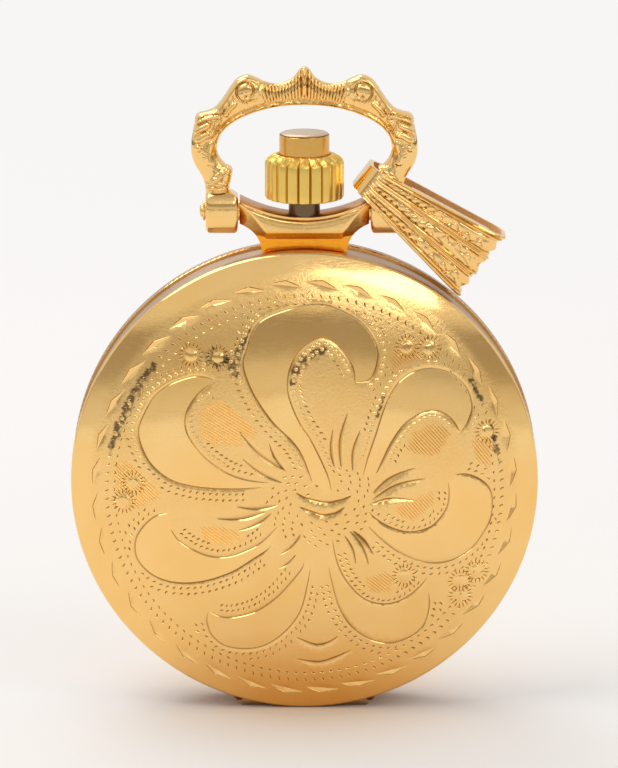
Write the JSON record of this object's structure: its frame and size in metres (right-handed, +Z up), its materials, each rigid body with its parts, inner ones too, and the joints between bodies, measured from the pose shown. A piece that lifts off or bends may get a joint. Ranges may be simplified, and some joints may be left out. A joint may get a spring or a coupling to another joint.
{
  "type": "full hunter pocket watch",
  "caption": "Small pendant pocket watch with sprung front and rear covers, fluted crown with push button, ornate swivelling bow and tapered hanging bail, over a full movement.",
  "frame": {"origin": "middle of the overall box's underside: the flat joint bed under the case, below the case axis", "axes": "+Z up through the pendant, the front cover faces -Y, the seconds side of the dial is +X"},
  "size_m": [0.029, 0.0086, 0.0403],
  "materials": {
    "gold": "polished yellow gold alloy, engraved on the covers, finely reeded round the band",
    "crown_gold": "polished deep yellow gold plate",
    "steel": "fine satin",
    "blued_steel": "heat blued and polished",
    "gilt": "fine matt gilding",
    "nickel": "striped damascening",
    "ruby": "polished synthetic ruby",
    "enamel": "fired white enamel with black numerals",
    "crystal": "clear polished mineral glass"
  },
  "bodies": {
    "case": {"case_band": "gold", "pendant": "gold", "front_hinge_pin": "gold", "rear_hinge_pin": "gold", "bezel": "gold", "crystal": "crystal", "lift_spring": "steel", "spring_screws": "steel", "stem_sleeve": "steel", "bow_screws": "gold", "main_plate": "gilt", "dial": "enamel", "hairspring": "blued_steel", "balance_cock": "nickel", "regulator": "steel", "cap_jewel": "ruby", "click_spring": "steel", "barrel_bridge": "nickel", "train_bridge": "nickel", "pallet_cock": "nickel", "plate_jewels": "ruby", "bridge_screws": "steel", "lever_screw": "steel", "case_screws": "steel"},
    "front_cover": {"front_cover": "gold"},
    "rear_cover": {"rear_cover": "gold"},
    "bow": {"bow": "gold"},
    "bail": {"bail": "gold"},
    "winding_works": {"winding_pinion": "steel", "clutch": "steel"},
    "crown": {"crown": "crown_gold", "winding_stem": "steel"},
    "button": {"crown_button": "crown_gold"},
    "lock_spring": {"lock_spring": "steel"},
    "setting_lever": {"setting_lever": "steel"},
    "centre": {"centre_wheel": "gilt", "cannon_pinion": "steel", "minute_hand": "blued_steel"},
    "hour": {"hour_wheel": "gilt", "hour_hand": "blued_steel"},
    "minute_wheel": {"minute_wheel": "gilt"},
    "third": {"third_wheel": "gilt"},
    "fourth": {"fourth_wheel": "gilt", "seconds_hand": "blued_steel"},
    "escape": {"escape_wheel": "gilt"},
    "barrel": {"barrel": "gilt", "mainspring": "steel"},
    "ratchet": {"barrel_arbor": "steel", "ratchet_wheel": "steel", "ratchet_screw": "steel"},
    "crown_wheel": {"crown_wheel": "steel", "contrate_wheel": "steel", "crown_wheel_screw": "steel"},
    "click": {"click": "steel"},
    "balance": {"balance_wheel": "gilt", "balance_screws": "gold", "balance_roller": "steel"},
    "pallet": {"pallet_fork": "steel", "pallet_stones": "ruby"}
  },
  "joints": [
    {"name": "front_cover_hinge", "type": "hinge", "parent": "case", "child": "front_cover", "pos_m": [0, -0.0014, 0.00053], "axis": [1, 0, 0], "range_deg": [0, 90]},
    {"name": "rear_cover_hinge", "type": "hinge", "parent": "case", "child": "rear_cover", "pos_m": [0, 0.0014, 0.00053], "axis": [-1, 0, 0], "range_deg": [0, 90]},
    {"name": "bow_swing", "type": "hinge", "parent": "case", "child": "bow", "pos_m": [0, 0, 0.03123], "axis": [1, 0, 0], "range_deg": [-90, 90]},
    {"name": "bail_lift", "type": "hinge", "parent": "bow", "child": "bail", "pos_m": [0.00298, 0, 0.03468], "axis": [0, -1, 0], "range_deg": [0, 37.5]},
    {"name": "crown_turn", "type": "hinge", "parent": "case", "child": "winding_works", "pos_m": [0, 0, 0.02303], "axis": [0, 0, 1], "continuous": true},
    {"name": "crown_pull", "type": "slide", "parent": "winding_works", "child": "crown", "axis": [0, 0, 1], "range_m": [0, 0.0006]},
    {"name": "button_press", "type": "slide", "parent": "crown", "child": "button", "axis": [0, 0, -1], "range_m": [0, 0.0006], "stiffness_N_per_m": 300},
    {"name": "lock_spring_flex", "type": "hinge", "parent": "case", "child": "lock_spring", "pos_m": [0.01155, 0, 0.01967], "axis": [0, -1, 0], "range_deg": [0, 1.4]},
    {"name": "setting_lever_swing", "type": "hinge", "parent": "case", "child": "setting_lever", "pos_m": [0.0015, 0, 0.02418], "axis": [0, 1, 0], "range_deg": [0, 25]},
    {"name": "minute_turn", "type": "hinge", "parent": "case", "child": "centre", "pos_m": [0, 0, 0.01453], "axis": [0, 1, 0], "continuous": true},
    {"name": "hour_turn", "type": "hinge", "parent": "case", "child": "hour", "pos_m": [0, 0, 0.01453], "axis": [0, 1, 0], "continuous": true},
    {"name": "minute_wheel_turn", "type": "hinge", "parent": "case", "child": "minute_wheel", "pos_m": [-0.00239, 0, 0.01341], "axis": [0, 1, 0], "continuous": true},
    {"name": "third_turn", "type": "hinge", "parent": "case", "child": "third", "pos_m": [0.00295, 0, 0.01689], "axis": [0, 1, 0], "continuous": true},
    {"name": "seconds_turn", "type": "hinge", "parent": "case", "child": "fourth", "pos_m": [0.0054, 0, 0.01453], "axis": [0, 1, 0], "continuous": true},
    {"name": "escape_turn", "type": "hinge", "parent": "case", "child": "escape", "pos_m": [0.00444, 0, 0.0114], "axis": [0, 1, 0], "continuous": true},
    {"name": "barrel_turn", "type": "hinge", "parent": "case", "child": "barrel", "pos_m": [-0.00459, 0, 0.01602], "axis": [0, 1, 0], "continuous": true},
    {"name": "crown_wheel_turn", "type": "hinge", "parent": "case", "child": "crown_wheel", "pos_m": [0, 0, 0.02108], "axis": [0, 1, 0], "continuous": true},
    {"name": "ratchet_turn", "type": "hinge", "parent": "case", "child": "ratchet", "pos_m": [-0.00459, 0, 0.01602], "axis": [0, 1, 0], "continuous": true},
    {"name": "click_lift", "type": "hinge", "parent": "case", "child": "click", "pos_m": [-0.0036, 0, 0.02183], "axis": [0, -1, 0], "range_deg": [0, 8], "stiffness_Nm_per_rad": 0.00002},
    {"name": "balance_swing", "type": "hinge", "parent": "case", "child": "balance", "pos_m": [-0.0006, 0, 0.00923], "axis": [0, 1, 0], "range_deg": [-135, 135], "stiffness_Nm_per_rad": 0.00000006},
    {"name": "pallet_rock", "type": "hinge", "parent": "case", "child": "pallet", "pos_m": [0.00274, 0, 0.01067], "axis": [0, 1, 0], "range_deg": [-5, 5]}
  ],
  "couplings": [
    {"joint": "hour_turn", "follows": "minute_turn", "ratio": 0.083333},
    {"joint": "minute_wheel_turn", "follows": "minute_turn", "ratio": -0.33333},
    {"joint": "third_turn", "follows": "minute_turn", "ratio": -8},
    {"joint": "seconds_turn", "follows": "minute_turn", "ratio": 60},
    {"joint": "escape_turn", "follows": "minute_turn", "ratio": -600},
    {"joint": "barrel_turn", "follows": "minute_turn", "ratio": -0.16667},
    {"joint": "crown_wheel_turn", "follows": "crown_turn", "ratio": -0.4},
    {"joint": "ratchet_turn", "follows": "crown_turn", "ratio": 0.24},
    {"joint": "lock_spring_flex", "follows": "button_press", "rad_per_m": 37},
    {"joint": "setting_lever_swing", "follows": "crown_pull", "rad_per_m": 657.99},
    {"joint": "pallet_rock", "follows": "balance_swing", "ratio": -0.033333}
  ]
}
